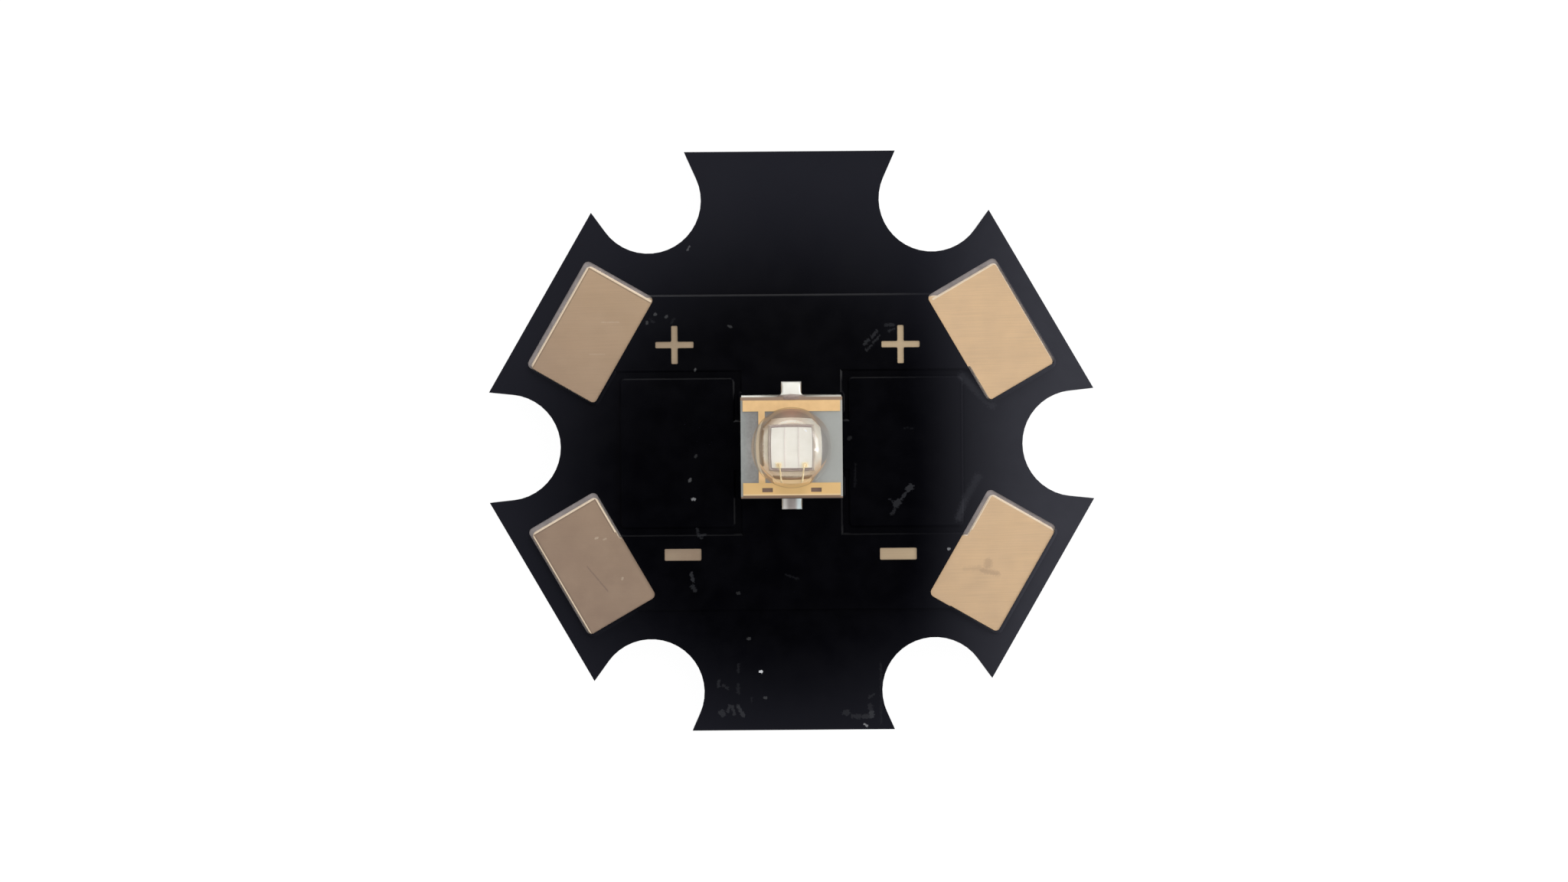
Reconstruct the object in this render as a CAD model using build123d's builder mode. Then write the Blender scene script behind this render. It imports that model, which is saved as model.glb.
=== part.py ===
from build123d import *
from math import cos, hypot, radians, sin, tan
import os

# One light emitter in a square ceramic package, soldered to a six-notch metal-core star board.
# The heat-sink face lies on Z = 0 with the emitter on top, and the origin is the centre of the
# ring of notches. The plus side is at +Y. Lengths are in millimetres, angles in degrees.

# Board outline
flats = 20.0  # across the four slanted flats
flats_shift = 0.165  # the upper and the lower flat are both cut this far towards +Y
flat_angle = 30.0  # from the X axis to the way that a slanted flat faces
notch_count = 6
notch_radius = 1.83
notch_inset = 0.19  # from the circle inside the flats to a notch's centre
notch_flare = 6.0  # by which each side of a notch opens outwards

# Board layers, from the bottom up
core_thickness = 1.5
dielectric_thickness = 0.10
foil_thickness = 0.07
mask_thickness = 0.03  # over the foil and over the bare dielectric alike
mask_slope = 45.0  # of the mask's steps over the foil's edges, from upright
mask_side = 0.02  # by which the top of such a step passes the foil's foot
plating_thickness = 0.01

# Wire pads, four on a circle, as the openings in the mask show them
pad_setback = 2.0  # from the circle inside the flats to a pad's centre
pad_width = 2.71  # outwards from the centre
pad_length = 4.21  # around the centre
pad_drop = 0.03  # of all four openings, below that circle
pad_corner = 0.18
pad_margin = 0.05  # by which an opening is larger than its copper, on each side
copper_shift_x = 0.05  # of the copper pads from their openings
copper_shift_y = -0.10
pad_angles = {"plus_left": 150, "plus_right": 30, "minus_left": 210, "minus_right": 330}

# Copper foil
etch_slope = 30.0  # of the foil's side walls, from upright
band_spacing = 5.77  # clear distance between the plus band and the minus band
band_height = 2.50
band_drop = 0.24  # of the middle between the bands, below the centre
copper_gap = 0.36  # between neighbouring foils
neck_inset = 0.075  # from the package's edge in to the side of a neck
square_inset = 1.08  # along X, from the pads' centres in to a thermal square's far side
copper_corner = 0.10
bridge_width = 1.60  # of the copper that joins the thermal squares under the emitter

# Openings in the mask under the emitter
strip_width = 0.60  # of the strip of solder along each side of the package
strip_inset = 0.02  # of the opening's ends from the package's sides
strip_cover = 0.06  # of the copper's foot beyond the opening, all round
tab_width = 0.70
tab_length = 0.46
tab_root = 0.08  # radius where the tab leaves the strip
heat_land_width = 1.40
heat_land_length = 3.30

# Polarity marks
mark_corner = 0.04
plus_span = 1.32
plus_stroke = 0.22
minus_length = 1.27
minus_width = 0.41
plus_left_reach = 2.908  # of each mark from its wire pad's centre, along X to the middle
plus_right_reach = 3.138
minus_left_reach = 3.148
minus_right_reach = 3.268
plus_left_drop = 0.50  # of each plus mark below its pad's centre
plus_right_drop = 0.53
minus_left_rise = 0.25  # of each minus mark above its pad's centre
minus_right_rise = 0.23

# Solder under the package
solder_thickness = 0.05
solder_slope = 30.0  # of the solder's sides, from upright

# Ceramic package
emitter_offset = -0.08  # of the package's centre along Y, as soldered
tile_size = 3.50
tile_thickness = 0.50
terminal_thickness = 0.03
terminal_width = 0.47
terminal_inset = 0.13  # from the tile's edges
heat_terminal_width = 1.30
via_diameter = 0.15
via_spacing = 2.40  # between the two vias of the frame
trace_depth = 0.25  # of the buried trace, below the top of the tile
trace_thickness = 0.03

# Gold metal on top of the tile
land_thickness = 0.03
bar_inset = 0.073  # from the tile's left and right edges
upper_bar_inset = 0.118  # from the tile's upper edge
upper_bar_width = 0.378
lower_bar_inset = 0.075  # from the tile's lower edge
lower_bar_width = 0.468
side_strip_width = 0.223
side_strip_gap = 0.095  # to the land under the die
tongue_width = 1.16  # of the part of the lower bar that takes the bond wires
land_gap = 0.08  # from the tongue to the land under the die
window_length = 0.363
window_width = 0.145
window_spacing = 1.68
window_inset = 0.172  # from the lower bar's inner edge

# Die
die_size = 1.28
die_thickness = 0.14
attach_thickness = 0.02
land_margin = 0.18  # by which the land passes the die on each side
land_chamfer = 0.24
border = 0.065  # dark border around the light-giving film
film_thickness = 0.01
panel_count = 3
finger_width = 0.022
contact_thickness = 0.01
contact_pad_length = 0.19
contact_pad_width = 0.17
contact_pad_spacing = 0.74
contact_line_width = 0.02  # along the film's lower edge, from pad to pad

# Bond wires
wire_diameter = 0.05
ball_diameter = 0.13
ball_height = 0.04
loop_rise = 0.12  # of the wire above its ball
loop_reach = 0.14  # from the ball to where the wire turns down
stitch_length = 0.09
stitch_width = 0.07
stitch_height = 0.02
stitch_inset = 0.03  # from the tongue's edge to the stitch
wire_lean = 0.065  # by which each wire leans towards the middle on its way to the tongue
bend_share = 0.45  # of the shorter run beside a bend, taken up by the bend

# Clear dome
dome_radius = 1.38
dome_height = 1.20

# Levels
core_top = core_thickness
dielectric_top = core_top + dielectric_thickness
foil_top = dielectric_top + foil_thickness
mask_top = foil_top + mask_thickness
solder_top = foil_top + solder_thickness
tile_bottom = solder_top + terminal_thickness
tile_top = tile_bottom + tile_thickness
land_top = tile_top + land_thickness
die_bottom = land_top + attach_thickness
die_top = die_bottom + die_thickness
film_top = die_top + film_thickness
contact_top = film_top + contact_thickness

# Places that several pieces share
pad_circle = flats / 2 - pad_setback
pad_x = pad_circle * cos(radians(pad_angles["plus_right"]))
pad_y = pad_circle * sin(radians(pad_angles["plus_right"]))
plus_places = {
    "plus_mark_left": (-pad_x + plus_left_reach, pad_y - plus_left_drop),
    "plus_mark_right": (pad_x - plus_right_reach, pad_y - plus_right_drop),
}
minus_places = {
    "minus_mark_left": (-pad_x + minus_left_reach, -pad_y + minus_left_rise),
    "minus_mark_right": (pad_x - minus_right_reach, -pad_y + minus_right_rise),
}
neck_half = tile_size / 2 - neck_inset
strip_outer = tile_size / 2
strip_inner = strip_outer - strip_width
strip_length = tile_size - 2 * strip_inset
land_size = die_size + 2 * land_margin
tongue_end = -land_size / 2 - land_gap
film_size = die_size - 2 * border
etch_run = foil_thickness * tan(radians(etch_slope))

os.makedirs("parts", exist_ok=True)


def pad_spots(angles, shift_x=0, shift_y=0):
    """Places of the pads, each turned so that its own X runs outwards."""
    spots = []
    for angle in angles:
        x = pad_circle * cos(radians(angle)) + shift_x
        y = pad_circle * sin(radians(angle)) + shift_y - pad_drop
        spots.append(Location((x, y, 0), (0, 0, angle)))
    return spots


def emitter_plane(height):
    """The level plane at this height, centred on the package."""
    return Plane(origin=(0, emitter_offset, height))


# Outline of the board: a rhombus of the four slanted flats, cut level above and below, with
# six U-shaped notches. A notch is an arc with two sides that leave it at a tangent.
notch_centre = flats / 2 - notch_inset
arc_end_x = notch_centre - notch_radius * sin(radians(notch_flare))
arc_end_y = notch_radius * cos(radians(notch_flare))
mouth_x = flats / 2 + notch_radius
mouth_y = arc_end_y + (mouth_x - arc_end_x) * tan(radians(notch_flare))

with BuildSketch() as notch_shape:
    with BuildLine():
        Line((mouth_x, -mouth_y), (arc_end_x, -arc_end_y))
        ThreePointArc(
            (arc_end_x, -arc_end_y),
            (notch_centre - notch_radius, 0),
            (arc_end_x, arc_end_y),
        )
        Line((arc_end_x, arc_end_y), (mouth_x, mouth_y))
        Line((mouth_x, mouth_y), (mouth_x, -mouth_y))
    make_face()

rhombus_x = flats / 2 / cos(radians(flat_angle))
rhombus_y = flats / 2 / sin(radians(flat_angle))

with BuildSketch() as board_outline:
    Polygon((rhombus_x, 0), (0, rhombus_y), (-rhombus_x, 0), (0, -rhombus_y), align=None)
    with Locations((0, flats_shift)):
        Rectangle(2 * rhombus_x, flats, mode=Mode.INTERSECT)
    with PolarLocations(0, notch_count):
        add(notch_shape.sketch_local, mode=Mode.SUBTRACT)

# Each foil is a few rounded blocks that run into each other, given by place, length, width and
# corner at their feet. A band runs from pad to pad, with a neck to the emitter that ends in a
# strip under each side of the package.
plus_band_y = (band_spacing + band_height) / 2 - band_drop
minus_band_y = -(band_spacing + band_height) / 2 - band_drop


def band_blocks(side, band_y, angles):
    """The blocks of a band on the plus side, 1, or the minus side, -1, of the emitter."""
    neck_end = side * strip_inner
    blocks = [
        (Location((0, band_y, 0)), 2 * pad_x, band_height, copper_corner),
        (
            Location((0, (band_y + neck_end) / 2, 0)),
            2 * neck_half,
            abs(band_y - neck_end),
            copper_corner,
        ),
        (
            Location((0, side * (strip_outer + strip_inner) / 2, 0)),
            strip_length + 2 * strip_cover,
            strip_width + 2 * strip_cover,
            copper_corner,
        ),
    ]
    pad_size = (pad_width - 2 * pad_margin, pad_length - 2 * pad_margin)
    spots = pad_spots(angles, copper_shift_x, copper_shift_y)
    return blocks + [(spot, *pad_size, pad_corner) for spot in spots]


square_start = neck_half + copper_gap
square_end = pad_x - square_inset
square_length = square_end - square_start
square_x = square_start + square_length / 2
square_height = band_spacing - 2 * copper_gap

foil_blocks = {
    "positive_foil": band_blocks(
        1, plus_band_y, (pad_angles["plus_left"], pad_angles["plus_right"])
    ),
    "negative_foil": band_blocks(
        -1, minus_band_y, (pad_angles["minus_left"], pad_angles["minus_right"])
    ),
    "thermal_foil": [
        (Location((-square_x, -band_drop, 0)), square_length, square_height, copper_corner),
        (Location((square_x, -band_drop, 0)), square_length, square_height, copper_corner),
        (Location((0, 0, 0)), 2 * square_x, bridge_width, copper_corner),
    ],
}

# Outlines of the foils at their tops, which the leaning side walls leave a little smaller
foil_tops = {}
for name, blocks in foil_blocks.items():
    with BuildSketch() as foil_top_shape:
        for spot, length, width, corner in blocks:
            with Locations(spot):
                RectangleRounded(length - 2 * etch_run, width - 2 * etch_run, corner - etch_run)
    foil_tops[name] = foil_top_shape.sketch

# Outlines of the openings under the emitter. The two outer ones have a tab on which the
# solder shows beside the package.
with BuildSketch() as plus_opening:
    with Locations((0, strip_inner)):
        Rectangle(strip_length, strip_width, align=(Align.CENTER, Align.MIN))
    with Locations((0, strip_outer)):
        Rectangle(tab_width, tab_length, align=(Align.CENTER, Align.MIN))
    fillet(plus_opening.vertices().sort_by_distance((0, strip_outer))[:2], tab_root)

with BuildSketch() as minus_opening:
    add(plus_opening.sketch_local, rotation=180)

with BuildSketch() as heat_opening:
    Rectangle(heat_land_length, heat_land_width)

# Outlines of the marks
with BuildSketch() as plus_shape:
    Rectangle(plus_span, plus_stroke)
    Rectangle(plus_stroke, plus_span)
    fillet(plus_shape.vertices(), mark_corner)

with BuildSketch() as minus_shape:
    RectangleRounded(minus_length, minus_width, mark_corner)

# Aluminium plate
with BuildPart() as core_plate:
    add(board_outline.sketch)
    extrude(amount=core_thickness)
core_plate.part.label = "core_plate"
export_step(core_plate.part, "parts/core_plate.step")

# Insulating layer that bonds the foils to the plate
with BuildPart() as dielectric_layer:
    with BuildSketch(Plane.XY.offset(core_top)):
        add(board_outline.sketch_local)
    extrude(amount=dielectric_thickness)
dielectric_layer.part.label = "dielectric_layer"
export_step(dielectric_layer.part, "parts/dielectric_layer.step")

# Copper foils, with side walls that lean in as etching leaves them
foils = []
for name, blocks in foil_blocks.items():
    with BuildPart() as foil:
        for spot, length, width, corner in blocks:
            for rise, inset in ((0, 0), (foil_thickness, etch_run)):
                with BuildSketch(Plane.XY.offset(dielectric_top + rise)):
                    with Locations(spot):
                        RectangleRounded(length - 2 * inset, width - 2 * inset, corner - inset)
            loft(ruled=True)
    foil.part.label = name
    export_step(foil.part, f"parts/{name}.step")
    foils.append(foil)

# Black mask: a thin coat that slopes up over each foil's edge, open at pads, marks and emitter
mask_height = mask_top - dielectric_top
mask_run = mask_height * tan(radians(mask_slope))

with BuildPart() as solder_mask:
    with BuildSketch(Plane.XY.offset(dielectric_top)):
        add(board_outline.sketch_local)
    extrude(amount=mask_thickness)
    for blocks in foil_blocks.values():
        for spot, length, width, corner in blocks:
            for rise, grow in ((0, mask_side + mask_run), (mask_height, mask_side)):
                with BuildSketch(Plane.XY.offset(dielectric_top + rise)):
                    with Locations(spot):
                        RectangleRounded(length + 2 * grow, width + 2 * grow, corner + grow)
            loft(ruled=True)
    for foil in foils:
        add(foil.part, mode=Mode.SUBTRACT)
    with BuildSketch(Plane.XY.offset(dielectric_top)):
        with Locations(*pad_spots(pad_angles.values())):
            RectangleRounded(pad_width, pad_length, pad_corner)
        with Locations(*plus_places.values()):
            add(plus_shape.sketch_local)
        with Locations(*minus_places.values()):
            add(minus_shape.sketch_local)
        for opening in (plus_opening, minus_opening, heat_opening):
            add(opening.sketch_local)
    extrude(amount=mask_height, mode=Mode.SUBTRACT)
solder_mask.part.label = "solder_mask"
export_step(solder_mask.part, "parts/solder_mask.step")

# Plated lands for the wires: the copper that shows through each opening
for side, angle in pad_angles.items():
    copper = foil_tops["positive_foil" if side.startswith("plus") else "negative_foil"]
    with BuildPart() as solder_pad:
        with BuildSketch(Plane.XY.offset(foil_top)):
            with Locations(*pad_spots([angle])):
                RectangleRounded(pad_width, pad_length, pad_corner)
            add(copper, mode=Mode.INTERSECT)
        extrude(amount=plating_thickness)
    solder_pad.part.label = f"solder_pad_{side}"
    export_step(solder_pad.part, f"parts/solder_pad_{side}.step")

# Plated polarity marks
for shape, places in ((plus_shape, plus_places), (minus_shape, minus_places)):
    for name, place in places.items():
        with BuildPart() as mark:
            with BuildSketch(Plane.XY.offset(foil_top)):
                with Locations(place):
                    add(shape.sketch_local)
            extrude(amount=plating_thickness)
        mark.part.label = name
        export_step(mark.part, f"parts/{name}.step")

# Solder: it wets the copper inside each opening, and its sides slope inwards
with BuildPart() as solder_joint_plus:
    with BuildSketch(Plane.XY.offset(foil_top)):
        add(plus_opening.sketch_local)
        add(foil_tops["positive_foil"], mode=Mode.INTERSECT)
    extrude(amount=solder_thickness, taper=solder_slope)
solder_joint_plus.part.label = "solder_joint_plus"
export_step(solder_joint_plus.part, "parts/solder_joint_plus.step")

with BuildPart() as solder_joint_minus:
    with BuildSketch(Plane.XY.offset(foil_top)):
        add(minus_opening.sketch_local)
        add(foil_tops["negative_foil"], mode=Mode.INTERSECT)
    extrude(amount=solder_thickness, taper=solder_slope)
solder_joint_minus.part.label = "solder_joint_minus"
export_step(solder_joint_minus.part, "parts/solder_joint_minus.step")

with BuildPart() as thermal_solder:
    with BuildSketch(Plane.XY.offset(foil_top)):
        add(heat_opening.sketch_local)
        add(foil_tops["thermal_foil"], mode=Mode.INTERSECT)
    extrude(amount=solder_thickness, taper=solder_slope)
thermal_solder.part.label = "thermal_solder"
export_step(thermal_solder.part, "parts/thermal_solder.step")

# Metal pads under the package
terminal_length = tile_size - 2 * terminal_inset
terminal_y = tile_size / 2 - terminal_inset - terminal_width / 2

with BuildPart() as terminal_plus:
    with BuildSketch(emitter_plane(solder_top)):
        with Locations((0, terminal_y)):
            Rectangle(terminal_length, terminal_width)
    extrude(amount=terminal_thickness)
terminal_plus.part.label = "terminal_plus"
export_step(terminal_plus.part, "parts/terminal_plus.step")

with BuildPart() as terminal_minus:
    with BuildSketch(emitter_plane(solder_top)):
        with Locations((0, -terminal_y)):
            Rectangle(terminal_length, terminal_width)
    extrude(amount=terminal_thickness)
terminal_minus.part.label = "terminal_minus"
export_step(terminal_minus.part, "parts/terminal_minus.step")

with BuildPart() as thermal_terminal:
    with BuildSketch(emitter_plane(solder_top)):
        Rectangle(terminal_length, heat_terminal_width)
    extrude(amount=terminal_thickness)
thermal_terminal.part.label = "thermal_terminal"
export_step(thermal_terminal.part, "parts/thermal_terminal.step")

# Conductors fired into the tile: two vias from the lower bar straight down to the minus
# terminal, and one stepped conductor from the land under the die to the plus terminal.
with BuildPart() as frame_vias:
    with BuildSketch(emitter_plane(tile_bottom)):
        for side in (-1, 1):
            with Locations((side * via_spacing / 2, -terminal_y)):
                Circle(via_diameter / 2)
    extrude(amount=tile_thickness)
frame_vias.part.label = "frame_vias"
export_step(frame_vias.part, "parts/frame_vias.step")

die_via_y = land_size / 2 - land_chamfer - via_diameter / 2
trace_level = tile_top - trace_depth

with BuildPart() as die_conductor:
    with BuildSketch(emitter_plane(trace_level)):
        with Locations((0, die_via_y)):
            Circle(via_diameter / 2)
    extrude(amount=trace_depth)
    with BuildSketch(emitter_plane(tile_bottom)):
        with Locations((0, terminal_y)):
            Circle(via_diameter / 2)
    extrude(amount=tile_thickness - trace_depth)
    with BuildSketch(emitter_plane(trace_level)):
        with Locations((0, (die_via_y + terminal_y) / 2)):
            SlotCenterToCenter(terminal_y - die_via_y, via_diameter, rotation=90)
    extrude(amount=trace_thickness)
die_conductor.part.label = "die_conductor"
export_step(die_conductor.part, "parts/die_conductor.step")

# Ceramic tile
with BuildPart() as ceramic_base:
    with BuildSketch(emitter_plane(tile_bottom)):
        Rectangle(tile_size, tile_size)
    extrude(amount=tile_thickness)
    add(frame_vias.part, mode=Mode.SUBTRACT)
    add(die_conductor.part, mode=Mode.SUBTRACT)
ceramic_base.part.label = "ceramic_base"
export_step(ceramic_base.part, "parts/ceramic_base.step")

# Gold frame on the tile: two bars joined by a strip on the left, with a tongue for the wires
bar_length = tile_size - 2 * bar_inset
upper_bar_y = tile_size / 2 - upper_bar_inset - upper_bar_width / 2
lower_bar_y = -tile_size / 2 + lower_bar_inset + lower_bar_width / 2
lower_bar_edge = lower_bar_y + lower_bar_width / 2
side_strip_x = -land_size / 2 - side_strip_gap - side_strip_width / 2

with BuildPart() as frame_land:
    with BuildSketch(emitter_plane(tile_top)):
        with Locations((0, upper_bar_y)):
            Rectangle(bar_length, upper_bar_width)
        with Locations((0, lower_bar_y)):
            Rectangle(bar_length, lower_bar_width)
        with Locations((side_strip_x, (upper_bar_y + lower_bar_y) / 2)):
            Rectangle(side_strip_width, upper_bar_y - lower_bar_y)
        with Locations((0, lower_bar_y)):
            Rectangle(tongue_width, tongue_end - lower_bar_y, align=(Align.CENTER, Align.MIN))
        for side in (-1, 1):
            with Locations((side * window_spacing / 2, lower_bar_edge - window_inset)):
                Rectangle(
                    window_length,
                    window_width,
                    align=(Align.CENTER, Align.MAX),
                    mode=Mode.SUBTRACT,
                )
    extrude(amount=land_thickness)
frame_land.part.label = "frame_land"
export_step(frame_land.part, "parts/frame_land.step")

with BuildPart() as die_land:
    with BuildSketch(emitter_plane(tile_top)) as land_shape:
        Rectangle(land_size, land_size)
        chamfer(land_shape.vertices(), land_chamfer)
    extrude(amount=land_thickness)
die_land.part.label = "die_land"
export_step(die_land.part, "parts/die_land.step")

# Die: carrier, light-giving film, and the contacts that divide the film in panels
with BuildPart() as die_attach:
    with BuildSketch(emitter_plane(land_top)):
        Rectangle(die_size, die_size)
    extrude(amount=attach_thickness)
die_attach.part.label = "die_attach"
export_step(die_attach.part, "parts/die_attach.step")

with BuildPart() as led_die:
    with BuildSketch(emitter_plane(die_bottom)):
        Rectangle(die_size, die_size)
    extrude(amount=die_thickness)
led_die.part.label = "led_die"
export_step(led_die.part, "parts/led_die.step")

with BuildPart() as emitting_film:
    with BuildSketch(emitter_plane(die_top)):
        Rectangle(film_size, film_size)
    extrude(amount=film_thickness)
emitting_film.part.label = "emitting_film"
export_step(emitting_film.part, "parts/emitting_film.step")

panel_pitch = film_size / panel_count
contact_pad_y = -film_size / 2 + contact_pad_width / 2

with BuildPart() as die_contacts:
    with BuildSketch(emitter_plane(film_top)):
        with GridLocations(panel_pitch, 0, panel_count - 1, 1):
            Rectangle(finger_width, film_size)
        with GridLocations(contact_pad_spacing, 0, 2, 1):
            with Locations((0, contact_pad_y)):
                Rectangle(contact_pad_length, contact_pad_width)
        with Locations((0, -film_size / 2)):
            Rectangle(
                contact_pad_spacing,
                contact_line_width,
                align=(Align.CENTER, Align.MIN),
            )
    extrude(amount=contact_thickness)
die_contacts.part.label = "die_contacts"
export_step(die_contacts.part, "parts/die_contacts.step")


def bend_radii(points):
    """A radius for each corner of a route, as large as its two runs allow."""
    radii = []
    for before, corner, after in zip(points, points[1:], points[2:]):
        run_in = Vector(*corner) - Vector(*before)
        run_out = Vector(*after) - Vector(*corner)
        half_turn = radians(run_in.get_angle(run_out) / 2)
        radii.append(bend_share * min(run_in.length, run_out.length) / tan(half_turn))
    return radii


def wire_route(side):
    """From the top of the ball up, over the die's edge, and down to lie on the tongue."""
    pad = Vector(side * contact_pad_spacing / 2, emitter_offset + contact_pad_y)
    foot = Vector(
        side * (contact_pad_spacing / 2 - wire_lean),
        emitter_offset + tongue_end - stitch_inset,
    )
    along = (foot - pad).normalized()
    ball_top = contact_top + ball_height
    lying = land_top + wire_diameter / 2
    level = [pad, pad, pad + along * loop_reach, foot, foot + along * stitch_length]
    heights = [ball_top, ball_top + loop_rise, ball_top + loop_rise, lying, lying]
    return [(spot.X, spot.Y, height) for spot, height in zip(level, heights)]


# Gold wires: a ball on the die's pad, a low loop, and a flat stitch on the tongue
bond_wires = []
for name, side in (("bond_wire_left", -1), ("bond_wire_right", 1)):
    route = wire_route(side)
    start, stitch_start, stitch_end = route[0], route[3], route[4]
    turn = Vector(*stitch_end) - Vector(*stitch_start)
    stitch_plane = Plane(
        origin=(stitch_start[0], stitch_start[1], land_top), x_dir=turn, z_dir=(0, 0, 1)
    )
    with BuildPart() as bond_wire:
        with BuildLine() as wire_path:
            FilletPolyline(*route, radius=bend_radii(route))
        with BuildSketch(Plane(origin=start, z_dir=(0, 0, 1))):
            Circle(wire_diameter / 2)
        sweep(path=wire_path.line)
        with BuildSketch(Plane(origin=(start[0], start[1], contact_top))):
            Circle(ball_diameter / 2)
        extrude(amount=ball_height)
        with BuildSketch(stitch_plane):
            with Locations((stitch_length / 2, 0)):
                SlotOverall(stitch_length + stitch_width / 2, stitch_width)
        extrude(amount=stitch_height)
    bond_wire.part.label = name
    export_step(bond_wire.part, f"parts/{name}.step")
    bond_wires.append(bond_wire)

# Clear dome: a cap of a sphere that stands on the tile and encloses die and wires
sphere_radius = hypot(dome_radius, dome_height) ** 2 / (2 * dome_height)

with BuildPart() as lens:
    with BuildSketch(Plane(origin=(0, emitter_offset, tile_top), x_dir=(1, 0, 0), z_dir=(0, -1, 0))):
        with BuildLine():
            Line((0, 0), (dome_radius, 0))
            RadiusArc((dome_radius, 0), (0, dome_height), -sphere_radius)
            Line((0, dome_height), (0, 0))
        make_face()
    revolve(axis=Axis((0, emitter_offset, 0), (0, 0, 1)))
    for piece in (frame_land, die_land, die_attach, led_die, emitting_film, die_contacts):
        add(piece.part, mode=Mode.SUBTRACT)
    for bond_wire in bond_wires:
        add(bond_wire.part, mode=Mode.SUBTRACT)
lens.part.label = "lens"
export_step(lens.part, "parts/lens.step")
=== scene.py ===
# %% [markdown]
# # A light emitter on its star board
# The object is a single high-power light emitter. A square ceramic package with a clear dome
# sits in the middle of a black board with six notches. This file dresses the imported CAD
# model for a photograph: it places a camera and soft light, gives every part its finish, and
# makes finer meshes for the few parts that CAD keeps plain.
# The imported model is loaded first, so that every later step can ask it where things are.

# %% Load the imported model
from math import cos, pi, radians, sin

import bpy
import numpy as np
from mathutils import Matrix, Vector


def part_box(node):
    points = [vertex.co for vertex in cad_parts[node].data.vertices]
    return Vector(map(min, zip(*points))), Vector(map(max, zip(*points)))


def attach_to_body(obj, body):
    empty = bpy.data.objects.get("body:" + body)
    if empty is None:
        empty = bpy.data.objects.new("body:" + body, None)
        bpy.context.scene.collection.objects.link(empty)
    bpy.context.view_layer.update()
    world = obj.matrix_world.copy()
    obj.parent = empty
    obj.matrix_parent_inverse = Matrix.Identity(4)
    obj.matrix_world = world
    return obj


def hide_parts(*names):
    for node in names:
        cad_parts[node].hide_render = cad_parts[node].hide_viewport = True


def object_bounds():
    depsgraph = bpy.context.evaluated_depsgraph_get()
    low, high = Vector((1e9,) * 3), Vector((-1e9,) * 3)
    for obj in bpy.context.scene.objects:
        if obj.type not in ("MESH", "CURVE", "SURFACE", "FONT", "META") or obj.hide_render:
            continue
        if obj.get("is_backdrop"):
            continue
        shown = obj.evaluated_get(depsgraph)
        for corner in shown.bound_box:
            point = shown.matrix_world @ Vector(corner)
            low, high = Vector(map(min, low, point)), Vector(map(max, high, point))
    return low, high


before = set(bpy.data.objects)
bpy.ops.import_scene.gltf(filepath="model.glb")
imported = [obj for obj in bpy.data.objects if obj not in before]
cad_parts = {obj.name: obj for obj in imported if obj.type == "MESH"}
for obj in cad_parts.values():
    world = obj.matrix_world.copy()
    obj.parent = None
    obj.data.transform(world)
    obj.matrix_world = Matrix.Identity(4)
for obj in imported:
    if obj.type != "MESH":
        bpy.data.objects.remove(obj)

cad_low, cad_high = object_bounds()
print("parts in the model:", len(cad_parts))
print("size in mm:", [round(1000 * side, 3) for side in cad_high - cad_low])

# %% [markdown]
# ## Camera
# The object was photographed from straight above. A long lens far away keeps the outline
# square to the view, so the side walls of the board stay hidden below its top. The numbers
# follow from one measure: how wide the picture is at the height of the board's top. The
# board lies turned by less than half a degree, and the camera's turn takes that up.

# %% Place the camera
MM = 0.001
scene = bpy.context.scene
board_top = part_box("solder_mask")[1].z

view_width = 54.165 * MM
view_centre = (-0.261 * MM, 0.153 * MM)
view_turn = radians(-0.45)

camera_data = bpy.data.cameras.new("camera")
camera_data.lens = 85
camera_data.sensor_width = 36
camera_data.clip_start = 0.005
camera_data.clip_end = 10
camera = bpy.data.objects.new("camera", camera_data)
camera_rise = view_width * camera_data.lens / camera_data.sensor_width
camera.location = (*view_centre, board_top + camera_rise)
camera.rotation_euler = (0, 0, view_turn)
scene.collection.objects.link(camera)
scene.camera = camera
print("camera height in mm:", round(1000 * camera.location.z, 2))

# %% [markdown]
# ## Nodes
# Light and finish are both made of small trees of shader nodes. A few helpers keep the trees
# short. A value may be a plain number or colour, an output socket, or a node, which stands
# for its first output. Nodes and sockets know their tree, so a helper is told the tree only
# where it starts from plain numbers or from nothing.

# %% Helpers for node trees
def shader_tree(owner):
    """Switch on the node tree of a material, world or lamp, clear it, and return it."""
    owner.use_nodes = True
    owner.node_tree.nodes.clear()
    return owner.node_tree


def feed(value, target):
    """Join an output to this input socket, or set the socket to a plain value."""
    if isinstance(value, bpy.types.Node):
        value = value.outputs[0]
    if isinstance(value, bpy.types.NodeSocket):
        target.id_data.links.new(value, target)
    elif target.type == "RGBA":
        target.default_value = (*value, 1)
    else:
        target.default_value = value


def add_node(tree, kind, feeds=None, **settings):
    """Add a shader node. settings are its properties, and feeds gives a value for each of
    its inputs, by name or by place."""
    node = tree.nodes.new("ShaderNode" + kind)
    for label, value in settings.items():
        setattr(node, label, value)
    for label, value in (feeds or {}).items():
        feed(value, node.inputs[label])
    return node


def math_node(tree, kind, first, second=0.0):
    """Add a Math node."""
    return add_node(tree, "Math", {0: first, 1: second}, operation=kind)


def times(first, *others):
    """The product of all these values."""
    for other in others:
        first = math_node(first.id_data, "MULTIPLY", first, other)
    return first


def mix_shaders(share, first, second):
    """The first shader where the share is 0, and the second where it is 1."""
    return add_node(share.id_data, "MixShader", {0: share, 1: first, 2: second})


print("node helpers ready")

# %% [markdown]
# ## Floor
# The board lies on a plain white floor. The floor has to look white to the camera and still
# show the soft shadow of the board. Its shader adds a little shaded white to a steady glow
# that only camera, mirror and glass rays can see. Every other ray meets an ordinary pale
# floor, so the floor throws a natural amount of light up at the board.

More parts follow.
